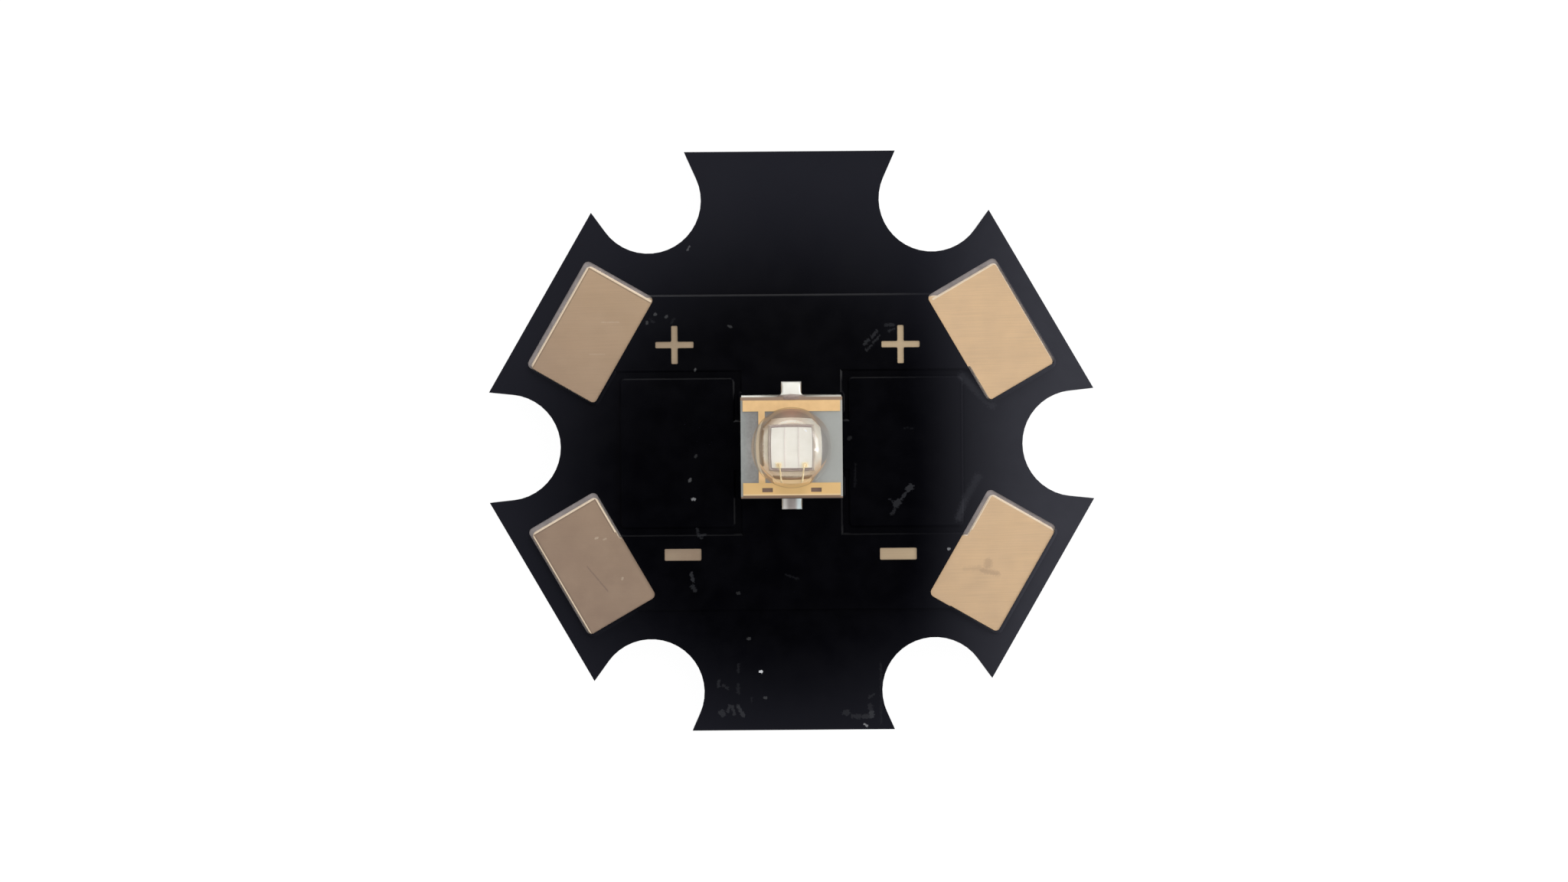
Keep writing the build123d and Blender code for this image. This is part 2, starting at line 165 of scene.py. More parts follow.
# %% Make the floor
def direct_ray(tree):
    """A value of 1 for rays straight from the camera or through glass, else 0."""
    rays = add_node(tree, "LightPath").outputs
    return math_node(tree, "MAXIMUM", rays["Is Camera Ray"], rays["Is Transmission Ray"])


def mirror_ray(tree):
    """A value of 1 for rays that a glossy surface has thrown back, else 0."""
    return add_node(tree, "LightPath").outputs["Is Glossy Ray"]


def add_piece(name, points, faces, smooth_faces):
    """A mesh object at the origin. So many of its first faces are shaded smooth."""
    mesh = bpy.data.meshes.new(name)
    mesh.from_pydata(points, [], faces)
    mesh.polygons.foreach_set("use_smooth", np.arange(len(faces)) < smooth_faces)
    mesh.update()
    piece = bpy.data.objects.new(name, mesh)
    scene.collection.objects.link(piece)
    return piece


floor_glow = 0.94
floor_shade = 0.13
floor_pale = 0.80
floor_half = 0.75
floor_level = -0.01 * MM

floor_material = bpy.data.materials.new("white floor")
tree = shader_tree(floor_material)
plain = add_node(tree, "BsdfDiffuse", {"Color": [floor_pale] * 3})
shaded = add_node(tree, "BsdfDiffuse", {"Color": [floor_shade] * 3})
glow = add_node(tree, "Emission", {"Strength": floor_glow})
together = add_node(tree, "AddShader", {0: shaded, 1: glow})
seen_ray = math_node(tree, "MAXIMUM", direct_ray(tree), mirror_ray(tree))
choice = mix_shaders(seen_ray, plain, together)
# From below the floor isn't seen at all, so that a look at the underside shows the plate.
from_below = add_node(tree, "NewGeometry").outputs["Backfacing"]
one_way = mix_shaders(from_below, choice, add_node(tree, "BsdfTransparent"))
add_node(tree, "OutputMaterial", {"Surface": one_way})

corners = [
    (x * floor_half, y * floor_half, floor_level) for x, y in ((-1, -1), (1, -1), (1, 1), (-1, 1))
]
floor = add_piece("floor", corners, [(0, 1, 2, 3)], 0)
floor.data.materials.append(floor_material)
floor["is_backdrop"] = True
print("floor side in mm:", 2000 * floor_half)

# %% [markdown]
# ## Soft light
# Small shiny things are photographed in a light tent: white cloth all round, with a hole at
# the top where the camera looks in. A black lacquer that lies flat mirrors only that dark
# hole, which keeps it deep black, while rough metal gathers light from the cloth beside it.
# The world plays the tent. Rays that come straight from the camera or through glass see it
# plain white. The cloth at the front left hangs in shade, so a small step that faces that
# way stays dark.

# %% Make the tent
def ramp(value, low, high, to_low=0.0, to_high=1.0):
    """Stretch a value from the range low to high, with soft ends, and clamp it."""
    limits = {"From Min": low, "From Max": high, "To Min": to_low, "To Max": to_high}
    feeds = {"Value": value, **limits}
    return add_node(value.id_data, "MapRange", feeds, interpolation_type="SMOOTHSTEP")


def vector_node(kind, first, second):
    """Add a Vector Math node."""
    return add_node(first.id_data, "VectorMath", {0: first, 1: second}, operation=kind)


def part_of(vector, axis):
    """One coordinate of a vector."""
    return add_node(vector.id_data, "SeparateXYZ", {0: vector}).outputs[axis]


tent_light = 1.06
hole_depth = 0.92
hole_rim, hole_edge = 0.90, 0.995
shade_way = (-0.6, -0.8, 0.0)
shade_level = 0.15

world = bpy.data.worlds.new("light tent")
scene.world = world
tree = shader_tree(world)
direction = add_node(tree, "TexCoord").outputs["Generated"]
opening = ramp(part_of(direction, "Z"), hole_rim, hole_edge, 1.0, 1 - hole_depth)
towards_shade = vector_node("DOT_PRODUCT", direction, shade_way).outputs["Value"]
in_shade = ramp(towards_shade, 0.05, 0.75, 1.0, shade_level)
mirrored = mirror_ray(tree)
lit_cloth = times(math_node(tree, "SUBTRACT", 1.0, mirrored), tent_light)
cloth_level = math_node(tree, "ADD", lit_cloth, times(mirrored, in_shade))
strength = math_node(tree, "MAXIMUM", times(opening, cloth_level), direct_ray(tree))
cloth = add_node(tree, "Background", {"Strength": strength})
add_node(tree, "OutputWorld", {"Surface": cloth})
print("world:", world.name)

# %% [markdown]
# Two long lamps stand low on the right and behind the board. They graze the surface, so
# every little step that faces them draws a thin bright line, and they lay a broad sheen on
# the dome. Three small ones give the dome its crisp highlights. Each lamp fades out towards
# its edges, as cloth in front of a bulb does.

# %% Make the lamps
lamp_distance = 0.30


def add_lamp(name, azimuth, elevation, width, height, power):
    """A soft flat lamp. It is placed by its direction from the object, azimuth from +X."""
    data = bpy.data.lights.new(name, "AREA")
    data.shape = "RECTANGLE"
    data.size, data.size_y, data.energy = width, height, power
    tree = shader_tree(data)
    place = add_node(tree, "NewGeometry").outputs["Parametric"]
    level = 1.0
    for axis in "XY":
        off_centre = math_node(tree, "SUBTRACT", part_of(place, axis), 0.5)
        off_centre = math_node(tree, "ABSOLUTE", off_centre)
        level = times(ramp(off_centre, 0.5, 0.15), level)
    glow = add_node(tree, "Emission", {"Strength": level})
    add_node(tree, "OutputLight", {"Surface": glow})
    lamp = bpy.data.objects.new(name, data)
    azimuth, elevation = radians(azimuth), radians(elevation)
    flat = cos(elevation)
    out = Vector((cos(azimuth) * flat, sin(azimuth) * flat, sin(elevation)))
    lamp.location = out * lamp_distance
    lamp.rotation_euler = out.to_track_quat("Z", "Y").to_euler()
    lamp.visible_camera = False
    scene.collection.objects.link(lamp)
    print(name, "stands", [round(1000 * v) for v in lamp.location], "mm")


add_lamp("lamp right", 12, 12, 0.40, 0.10, 0.9)
add_lamp("lamp back", 91, 9, 0.44, 0.08, 0.8)
add_lamp("small lamp right", -5, 15, 0.05, 0.11, 0.30)
add_lamp("streak lamp right", 8, 15, 0.15, 0.05, 0.15)
add_lamp("small lamp behind", 51, 24, 0.07, 0.045, 0.08)

# %% [markdown]
# ## Tools for finishes
# Some effects are needed again and again: cloudy colour, fine relief, brushed lines and small
# worn spots. Each is built once as a node group with named sockets, and each material sets
# its own values on it.
# All patterns are placed by Object coordinates. They are scaled to millimetres inside the
# groups, so a size that is typed on a socket is a real size on the part.

# %% Group helpers
NUMBER = "NodeSocketFloat"
COLOUR = "NodeSocketColor"
VECTOR = "NodeSocketVector"


def new_group(name, inputs, outputs):
    """Start a shader node group from lists of (label, kind, value) and (label, kind)."""
    group = bpy.data.node_groups.new(name, "ShaderNodeTree")
    for label, kind, value in inputs:
        socket = group.interface.new_socket(label, in_out="INPUT", socket_type=kind)
        socket.default_value = value
    for label, kind in outputs:
        group.interface.new_socket(label, in_out="OUTPUT", socket_type=kind)
    start, end = group.nodes.new("NodeGroupInput"), group.nodes.new("NodeGroupOutput")
    return group, start.outputs, end.inputs


def place_in_mm(tree):
    """Object coordinates in millimetres."""
    place = add_node(tree, "TexCoord").outputs["Object"]
    return add_node(tree, "Mapping", {"Vector": place, "Scale": (1000, 1000, 1000)})


def noise_node(place, scale, detail):
    """The value of a noise, with this many finer layers over the coarsest one."""
    feeds = {"Vector": place, "Scale": scale, "Detail": detail, "Roughness": 0.55}
    return add_node(place.id_data, "TexNoise", feeds).outputs["Fac"]


def blend_colours(factor, first, second):
    """Mix two colours. A Mix node keeps its colour inputs at places 6 and 7, and its colour
    output at place 2."""
    feeds = {"Factor": factor, 6: first, 7: second}
    return add_node(factor.id_data, "Mix", feeds, data_type="RGBA").outputs[2]


# %% Cloudy colour and cloudy roughness
cloud_group, start, end = new_group(
    "cloudy colour",
    [
        ("First", COLOUR, (0.5, 0.5, 0.5, 1)),
        ("Second", COLOUR, (0.6, 0.6, 0.6, 1)),
        ("Size mm", NUMBER, 1.0),
        ("Spread", NUMBER, 0.2),
    ],
    [("Color", COLOUR), ("Mask", NUMBER)],
)
tree = cloud_group
scale = math_node(tree, "DIVIDE", 1.0, start["Size mm"])
cloud = noise_node(place_in_mm(tree), scale, detail=4)
low = math_node(tree, "SUBTRACT", 0.5, start["Spread"])
high = math_node(tree, "ADD", 0.5, start["Spread"])
mask = ramp(cloud, low, high)
feed(blend_colours(mask, start["First"], start["Second"]), end["Color"])
feed(mask, end["Mask"])

rough_group, start, end = new_group(
    "cloudy roughness",
    [("Smooth", NUMBER, 0.3), ("Rough", NUMBER, 0.5), ("Size mm", NUMBER, 1.0)],
    [("Roughness", NUMBER)],
)
tree = rough_group
scale = math_node(tree, "DIVIDE", 1.0, start["Size mm"])
cloud = noise_node(place_in_mm(tree), scale, detail=3)
feed(ramp(cloud, 0.3, 0.7, start["Smooth"], start["Rough"]), end["Roughness"])
print("groups:", cloud_group.name, "and", rough_group.name)

# %% Fine relief and brushed lines
def bump_normal(height, depth_mm):
    """The normals of a relief. Its height runs from 0 to 1, and its depth is in mm."""
    feeds = {"Strength": 1.0, "Distance": times(depth_mm, MM), "Height": height}
    return add_node(height.id_data, "Bump", feeds)


def turned_about_z(place, angle, backwards=False):
    """These coordinates, turned about the upright axis by an angle in radians."""
    feeds = {"Vector": place, "Angle": angle}
    settings = {"rotation_type": "Z_AXIS", "invert": backwards}
    return add_node(place.id_data, "VectorRotate", feeds, **settings)


relief_group, start, end = new_group(
    "fine relief",
    [("Size mm", NUMBER, 0.1), ("Height mm", NUMBER, 0.001)],
    [("Normal", VECTOR)],
)
tree = relief_group
scale = math_node(tree, "DIVIDE", 1.0, start["Size mm"])
grain = noise_node(place_in_mm(tree), scale, detail=2)
feed(bump_normal(grain, start["Height mm"]), end["Normal"])

brush_group, start, end = new_group(
    "brushed lines",
    [
        ("Turn", NUMBER, 0.0),
        ("Length mm", NUMBER, 2.0),
        ("Width mm", NUMBER, 0.03),
        ("Height mm", NUMBER, 0.001),
    ],
    [("Normal", VECTOR), ("Lines", NUMBER)],
)
tree = brush_group
turned = turned_about_z(place_in_mm(tree), start["Turn"])
along = math_node(tree, "DIVIDE", 1.0, start["Length mm"])
across = math_node(tree, "DIVIDE", 1.0, start["Width mm"])
stretch = add_node(tree, "CombineXYZ", {"X": along, "Y": across, "Z": across})
lines = noise_node(vector_node("MULTIPLY", turned, stretch), 1.0, detail=2)
feed(bump_normal(lines, start["Height mm"]), end["Normal"])
feed(lines, end["Lines"])
print("groups:", relief_group.name, "and", brush_group.name)

# %% Worn spot
# The mask of one speck or scratch: the distance from a short line on the board, in X and Y
# only, made uneven by a fine noise, and turned into a soft-edged stroke of the wanted width.
spot_group, start, end = new_group(
    "worn spot",
    [
        ("Place mm", VECTOR, (0, 0, 0)),
        ("Turn", NUMBER, 0.0),
        ("Length mm", NUMBER, 0.3),
        ("Width mm", NUMBER, 0.1),
        ("Soft mm", NUMBER, 0.03),
        ("Ragged mm", NUMBER, 0.03),
    ],
    [("Mask", NUMBER)],
)
tree = spot_group
place = place_in_mm(tree)
moved = vector_node("SUBTRACT", place, start["Place mm"])
turned = turned_about_z(moved, start["Turn"], backwards=True)
along = math_node(tree, "ABSOLUTE", part_of(turned, "X"))
beyond = math_node(tree, "SUBTRACT", along, times(start["Length mm"], 0.5))
beyond = math_node(tree, "MAXIMUM", beyond, 0.0)
aside = part_of(turned, "Y")
squares = math_node(tree, "ADD", times(beyond, beyond), times(aside, aside))
distance = math_node(tree, "SQRT", squares)
wobble = math_node(tree, "SUBTRACT", noise_node(place, 18.0, detail=2), 0.5)
wobble = times(wobble, start["Ragged mm"], 2.0)
distance = math_node(tree, "ADD", distance, wobble)
half_width = times(start["Width mm"], 0.5)
outer = math_node(tree, "ADD", half_width, start["Soft mm"])
feed(ramp(distance, half_width, outer, 1.0, 0.0), end["Mask"])
print("group:", spot_group.name)


# %% Material helpers
def new_material(name):
    """A material with one Principled shader. Returns the material, its tree and the shader."""
    material = bpy.data.materials.new(name)
    tree = shader_tree(material)
    shader = add_node(tree, "BsdfPrincipled")
    add_node(tree, "OutputMaterial", {"Surface": shader})
    return material, tree, shader


def place_group(tree, group, **values):
    """Put a group in a tree. An underscore in a value's name stands for a space."""
    feeds = {label.replace("_", " "): value for label, value in values.items()}
    return add_node(tree, "Group", feeds, node_tree=group)


def finish(shader, tone=None, metallic=0.0, gloss=None, grain=None):
    """Join a colour to a shader and set how metallic it is, both as far as they are given.
    gloss is the lowest and highest roughness and the size of their patches in mm, and grain
    is the size and the height of a fine relief in mm."""
    tree = shader.id_data
    if tone is not None:
        feed(tone, shader.inputs["Base Color"])
    if metallic:
        feed(metallic, shader.inputs["Metallic"])
    if gloss:
        smooth, rough, size = gloss
        patches = place_group(tree, rough_group, Smooth=smooth, Rough=rough, Size_mm=size)
        feed(patches, shader.inputs["Roughness"])
    if grain:
        size, height = grain
        relief = place_group(tree, relief_group, Size_mm=size, Height_mm=height)
        feed(relief, shader.inputs["Normal"])


def cloudy_material(name, first, second, size, spread, metallic, gloss, grain=None):
    """A material with two near tones in soft clouds of this size in mm, uneven roughness and
    a fine relief. Returns the material, its tree, its shader and its colour."""
    material, tree, shader = new_material(name)
    cloud = place_group(tree, cloud_group, First=first, Second=second, Size_mm=size, Spread=spread)
    finish(shader, cloud, metallic, gloss, grain)
    return material, tree, shader, cloud


def dress(material, *node_names):
    """Give a material to the mesh of each of these CAD nodes."""
    for name in node_names:
        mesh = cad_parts[name].data
        mesh.materials.clear()
        mesh.materials.append(material)
    print(material.name, "->", ", ".join(node_names))


# %% Masks and tints
def slow_change(tree, turn, low, high):
    """A value that goes from 0 to 1 across the board, between two places in mm along a line."""
    turned = turned_about_z(place_in_mm(tree), radians(turn), backwards=True)
    return ramp(part_of(turned, "X"), low, high)


def distance_from(tree, x, y):
    """The distance in mm from the upright line through this place."""
    flat = vector_node("MULTIPLY", place_in_mm(tree), (1, 1, 0))
    return vector_node("DISTANCE", flat, (x, y, 0)).outputs["Value"]


def strokes(tree, rows, soft, ragged):
    """The brightest of many worn spots, one group node for each row. A row gives X and Y in
    mm, turn in degrees, length, width and strength."""
    total = None
    for x, y, turn, length, width, level in rows:
        spot = place_group(
            tree, spot_group, Place_mm=(x, y, 0.0), Turn=radians(turn),
            Length_mm=length, Width_mm=width, Soft_mm=soft, Ragged_mm=ragged,
        )
        mask = times(spot, level)
        total = mask if total is None else math_node(tree, "MAXIMUM", total, mask)
    return total


def tint(tone, colour, *masks):
    """Lay a colour over a tone, as strongly as the product of these values says."""
    return blend_colours(times(*masks), tone, colour)


def tint_sides(tone, *rows):
    """Lay colours over a tone, one after the other. A row gives the way in degrees towards
    which the colour comes in, where along that way it starts and is full, in mm, a value
    that limits it, and the colour."""
    for turn, low, high, limit, colour in rows:
        tone = tint(tone, colour, slow_change(tone.id_data, turn, low, high), limit)
    return tone


print("tints ready")

# %% [markdown]
# ## Black lacquer
# The top of the board is coated with black solder mask. It isn't one flat black. It is
# deepest below the package, grows a little lighter and bluer towards every edge, and its
# right side carries a painted sheen, a reflection of the light on that side. It has collected
# specks and scuffs, and each of those is one stroke of the worn spot group.

# %% Mark the worn places of the lacquer
specks = [
    (-1.12, -7.81, -15, 0.05, 0.07, 0.96), (-0.97, -8.72, 0, 0.04, 0.07, 0.06),
    (-3.40, -1.84, 0, 0.07, 0.07, 0.31), (-3.52, -1.18, 60, 0.04, 0.08, 0.10),
    (-3.31, 2.64, 60, 0.05, 0.05, 0.10), (5.40, -3.62, 0, 0.03, 0.06, 0.30),
    (-3.51, 6.84, 60, 0.13, 0.04, 0.10), (-2.11, 4.13, -20, 0.11, 0.05, 0.05),
    (-1.53, -6.67, 20, 0.08, 0.07, 0.05), (-4.67, 4.56, 10, 0.04, 0.07, 0.07),
    (-4.29, 4.48, 60, 0.04, 0.07, 0.06), (-4.96, 4.27, 80, 0.04, 0.06, 0.06),
    (-3.31, -0.35, 70, 0.05, 0.07, 0.04), (-1.88, -5.10, 0, 0.04, 0.08, 0.03),
    (2.49, -9.69, -30, 0.09, 0.06, 0.31), (2.01, 0.24, 40, 0.05, 0.11, 0.02),
]
scuffs = [
    (2.89, 3.83, 51, 0.24, 0.08, 0.39), (2.95, 3.64, 43, 0.34, 0.04, 0.35),
    (2.62, 3.55, 42, 0.16, 0.09, 0.39), (2.71, 3.36, 42, 0.26, 0.05, 0.32),
    (3.41, 4.13, 0, 0.24, 0.07, 0.32), (3.49, 3.97, 22, 0.21, 0.04, 0.32),
    (4.07, -1.51, 35, 0.11, 0.19, 0.51), (3.84, -1.79, 53, 0.26, 0.05, 0.46),
    (3.63, -2.03, 42, 0.11, 0.21, 0.43), (3.41, -1.92, -26, 0.16, 0.03, 0.26),
    (3.49, -2.31, 56, 0.19, 0.08, 0.29), (-1.45, -8.80, 90, 0.13, 0.03, 0.20),
    (-2.25, -9.10, 68, 0.21, 0.07, 0.46), (-2.09, -9.14, -76, 0.26, 0.07, 0.46),
    (-1.83, -9.17, -62, 0.37, 0.08, 0.59), (-2.47, -9.24, -45, 0.11, 0.16, 0.46),
    (-2.59, -8.20, 85, 0.21, 0.07, 0.32), (-2.35, -8.33, -35, 0.19, 0.05, 0.26),
    (-1.90, -7.69, 90, 0.26, 0.05, 0.20), (-1.91, -8.40, 90, 0.26, 0.07, 0.20),
    (1.81, -9.25, 0, 0.08, 0.16, 0.35), (2.16, -9.38, 0, 0.24, 0.13, 0.35),
    (2.53, -9.39, 0, 0.26, 0.11, 0.43), (2.69, -9.32, 90, 0.08, 0.16, 0.74),
    (2.65, -9.07, 90, 0.13, 0.13, 0.29), (2.69, -8.68, 35, 0.19, 0.04, 0.29),
    (-3.27, -2.94, -75, 0.19, 0.05, 0.35), (-3.12, -3.08, 5, 0.21, 0.05, 0.39),
    (-3.18, -3.13, -40, 0.16, 0.05, 0.29), (-3.47, -4.53, -78, 0.24, 0.09, 0.51),
    (-3.42, -4.91, -50, 0.16, 0.12, 0.35), (4.05, 0.57, -5, 0.26, 0.04, 0.10),
    (2.19, -1.08, 88, 0.79, 0.04, 0.11), (-4.78, 4.34, -45, 0.13, 0.03, 0.20),
    (-4.08, 4.33, 55, 0.16, 0.04, 0.17), (-0.03, -4.53, -20, 0.42, 0.04, 0.13),
    (3.03, -8.60, 90, 2.10, 0.04, 0.16),
]
smears = [
    (6.42, 1.84, -45, 1.45, 0.06, 0.13),
    (5.88, -2.23, 68, 0.70, 0.02, 0.17),
    (6.22, -1.50, 60, 0.85, 0.05, 0.11),
]
# The copper's edge on the sheen side hardly shows, so its step, lit by the lamp, is painted a
# little deeper black: painted shade.
step_painted_darker = [(5.89, -0.24, 90, 4.8, 0.06, 0.24)]
print("specks:", len(specks), "scuffs:", len(scuffs), "smears:", len(smears))

# %% Finish the lacquer
lacquer, tree, shader = new_material("black lacquer")
towards_rim = ramp(distance_from(tree, -0.3, -1.2), 5.0, 11.2)
deep_black, rim_black = (0.0006, 0.0006, 0.0014), (0.0145, 0.0148, 0.0205)
black = blend_colours(towards_rim, deep_black, rim_black)
# Painted sheen: the right side is painted lighter and bluer, a reflection of the light there.
black = tint(black, (0.045, 0.0455, 0.056), slow_change(tree, 0, 3.8, 9.9))
mottled = place_group(tree, cloud_group, Size_mm=0.8, Spread=0.22)
black = tint(black, (0.012, 0.012, 0.015), mottled.outputs["Mask"], 0.10)
dust = strokes(tree, specks, 0.022, 0.06)
worn = strokes(tree, scuffs, 0.028, 0.10)
for mask, colour in (
    # Painted shade: the lit step on the right is painted deeper black.
    (strokes(tree, step_painted_darker, 0.06, 0.01), (0.002, 0.002, 0.004)),
    (strokes(tree, smears, 0.18, 0.15), (0.10, 0.102, 0.12)),
    (worn, (0.043, 0.044, 0.050)),
    (dust, (0.60, 0.61, 0.63)),
):
    black = tint(black, colour, mask)
finish(shader, black, grain=(0.22, 0.0008))

dull = place_group(tree, rough_group, Smooth=0.26, Rough=0.34, Size_mm=3.0)
wear = times(math_node(tree, "MAXIMUM", dust, worn), 0.4)
feed(math_node(tree, "ADD", dull, wear), shader.inputs["Roughness"])
upper_gloss = ramp(slow_change(tree, 90, -4.5, 6.5), 0.0, 1.0, 0.035, 0.085)
right_gloss = ramp(slow_change(tree, 0, 2.2, 5.8), 0.0, 1.0, 1.0, 0.12)
feed(times(upper_gloss, right_gloss), shader.inputs["Specular IOR Level"])
dress(lacquer, "solder_mask")

# %% [markdown]
# ## Plated pads and marks
# The wire pads and the plus and minus marks are copper with a thin, pale gold plating. The
# plating was wiped along X, so it has faint lines. The left pads and marks are painted darker
# and browner, a slow change of colour across the board that is painted shade, as the light
# comes from the right.
# The copper's upper edges are rounded. There each pad has a thin cream rim, a painted
# highlight of the rounded edge, and the left pads a thin dark line just inside it. Old
# scratches and grey smudges cross the pads.

# %% Mark the rims and the wear of the pads
pad_circle = 8.0
copper_shift = (0.05, -0.13)
copper_half_out = 1.305
copper_half_around = 2.055
# Each row gives a pad's angle, the way its edge faces, and where the rim starts and ends
# along it, in mm from the edge's middle.
rim_edges = [
    (150, 150, -1.98, 1.98),
    (150, 60, -1.20, 1.20),
    (30, 120, -1.20, 1.20),
    (210, 210, -1.98, 1.98),
    (210, 120, -1.20, 1.20),
    (210, 30, 0.66, 1.98),
    (330, 60, -1.20, 1.20),
    (330, 150, -1.98, -0.66),
]


def along_edges(edges, inset, width, level):
    """Rows for strokes that run along edges of the pads' copper, this far inside them."""
    rows = []
    for pad_angle, facing, first, last in edges:
        half = copper_half_out if (facing - pad_angle) % 180 == 0 else copper_half_around
        out, along = radians(facing), radians(facing + 90)
        middle = (first + last) / 2
        x = pad_circle * cos(radians(pad_angle)) + copper_shift[0]
        y = pad_circle * sin(radians(pad_angle)) + copper_shift[1]
        x += (half - inset) * cos(out) + middle * cos(along)
        y += (half - inset) * sin(out) + middle * sin(along)
        rows.append((x, y, facing + 90, last - first, width, level))
    return rows


# Painted highlights along the copper's rounded edges, and thin dark lines just inside them on the
# left pads.
rim_highlights = along_edges(rim_edges, 0.035, 0.06, 1.0)
inner_dark_lines = along_edges([row for row in rim_edges if row[0] in (150, 210)], 0.10, 0.02, 0.45)
smudges = [
    (6.81, -4.43, -14, 0.55, 0.04, 0.25),
    (6.76, -4.13, 80, 0.08, 0.16, 0.22),
    (6.20, -4.30, 5, 0.50, 0.03, 0.12),
]
dark_scratch = [(-6.74, -4.56, -50, 1.10, 0.015, 0.40)]
light_marks = [
    (-6.24, 4.30, 0, 0.60, 0.01, 0.22),
    (-6.70, 3.20, 0, 0.50, 0.01, 0.16),
    (-6.76, -3.15, 20, 0.08, 0.04, 0.40),
    (-6.48, -3.19, 20, 0.08, 0.03, 0.30),
    (-5.88, -4.56, 70, 0.05, 0.04, 0.35),
]
print("rims:", len(rim_highlights), "marks:", len(smudges) + len(light_marks))

# %% Finish the plating
def plating_material(name, shaded_tone, lit_tone, patch_tone, roughness):
    """Rough plated metal: painted shade across the board, cloudy patches and wiped lines.
    Returns the material, its tree, its shader and its colour."""
    material, tree, shader = new_material(name)
    # Painted shade: darker and browner towards the left, as the light comes from the right.
    tone = blend_colours(slow_change(tree, 35, -10.1, 6.2), shaded_tone, lit_tone)
    rightwards, leftwards = slow_change(tree, 0, -7.8, -5.4), slow_change(tree, 180, 0.0, 2.0)
    inner_left = math_node(tree, "MINIMUM", rightwards, leftwards)
    tone = tint(tone, (0.16, 0.12, 0.10), inner_left, 0.16)
    patches = place_group(tree, cloud_group, Size_mm=0.9, Spread=0.25)
    tone = tint(tone, patch_tone, patches.outputs["Mask"], 0.20)
    brushed = place_group(
        tree, brush_group, Turn=radians(-1.0), Length_mm=1.8, Width_mm=0.04, Height_mm=0.0012
    )
    wiped = ramp(brushed.outputs["Lines"], 0.25, 0.75, 0.0, 0.12)
    tone = tint(tone, (0.26, 0.20, 0.15), wiped)
    finish(shader, tone, 0.3, (roughness - 0.04, roughness + 0.05, 0.6))
    feed(brushed.outputs["Normal"], shader.inputs["Normal"])
    return material, tree, shader, tone


pad_plating, tree, shader, tone = plating_material(
    "pad plating", (0.33, 0.228, 0.165), (0.84, 0.58, 0.34), (0.55, 0.40, 0.28), 0.48
)
for rows, soft, ragged, colour in (
    (smudges, 0.12, 0.10, (0.16, 0.11, 0.10)),
    (dark_scratch, 0.03, 0.03, (0.16, 0.11, 0.10)),
    (light_marks, 0.03, 0.03, (0.72, 0.60, 0.46)),
    (inner_dark_lines, 0.015, 0.01, (0.16, 0.12, 0.09)),
    # Painted highlight: the cream rims along the copper's rounded edges.
    (rim_highlights, 0.015, 0.008, (0.94, 0.77, 0.57)),
):
    tone = tint(tone, colour, strokes(tree, rows, soft, ragged))
finish(shader, tone)
places = [(sign, side) for sign in ("plus", "minus") for side in ("left", "right")]
dress(pad_plating, *(f"solder_pad_{sign}_{side}" for sign, side in places))

mark_plating = plating_material(
    "mark plating", (0.295, 0.205, 0.148), (0.58, 0.435, 0.27), (0.60, 0.50, 0.34), 0.5
)[0]
dress(mark_plating, *(f"{sign}_mark_{side}" for sign, side in places))

# %% [markdown]
# ## Board body
# Under the lacquer lie the copper foils and the grey insulating layer. Both show beside each
# wire pad, where the opening in the lacquer is larger than the copper. The plate itself is
# aluminium. Its underside is brushed, and its cut edges carry upright streaks.

# %% Finish the foils, the insulating layer and the plate
copper = cloudy_material(
    "copper foil", (0.90, 0.72, 0.54), (0.95, 0.82, 0.66), 0.5, 0.25,
    0.35, (0.32, 0.46, 0.2), (0.04, 0.002),
)[0]
dress(copper, "positive_foil", "negative_foil", "thermal_foil")

insulator = cloudy_material(
    "insulating layer", (0.25, 0.225, 0.225), (0.35, 0.31, 0.305), 0.35, 0.25,
    0.0, (0.5, 0.7, 0.3), (0.06, 0.004),
)[0]
dress(insulator, "dielectric_layer")

aluminium, tree, shader = new_material("aluminium plate")
brushed = place_group(
    tree, brush_group, Turn=radians(90), Length_mm=6.0, Width_mm=0.05, Height_mm=0.0022
)
lines = ramp(brushed.outputs["Lines"], 0.25, 0.75)
tone = blend_colours(lines, (0.50, 0.51, 0.525), (0.66, 0.67, 0.68))
# The upright streaks of the edges: a noise that is fine along X and Y and long along Z.
upright = vector_node("MULTIPLY", place_in_mm(tree), (14, 14, 0.5))
streaks = ramp(noise_node(upright, 1.0, detail=3), 0.3, 0.7)
streaked = blend_colours(streaks, (0.41, 0.415, 0.43), (0.59, 0.595, 0.605))
on_edge = ramp(part_of(place_in_mm(tree), "Z"), 0.0, 0.03)
finish(shader, tint(tone, streaked, on_edge), 1.0, (0.26, 0.40, 1.5))
feed(brushed.outputs["Normal"], shader.inputs["Normal"])
dress(aluminium, "core_plate")

# %% [markdown]
# ## Ceramic package
# The package is a grey ceramic tile with gold fired on its top. Ceramic is matt and finely
# speckled. Much of what is seen under the dome is bent and mirrored light from the gold and
# the die, so the tile takes warmer tones there, each on its own side of the die.

# %% Finish the ceramic tile
package_half = 1.75
package_shift = -0.08
ceramic, tree, shader, tone = cloudy_material(
    "grey ceramic", (0.25, 0.243, 0.232), (0.32, 0.313, 0.30), 0.10, 0.3,
    0.0, (0.40, 0.55, 0.2), (0.03, 0.001),
)
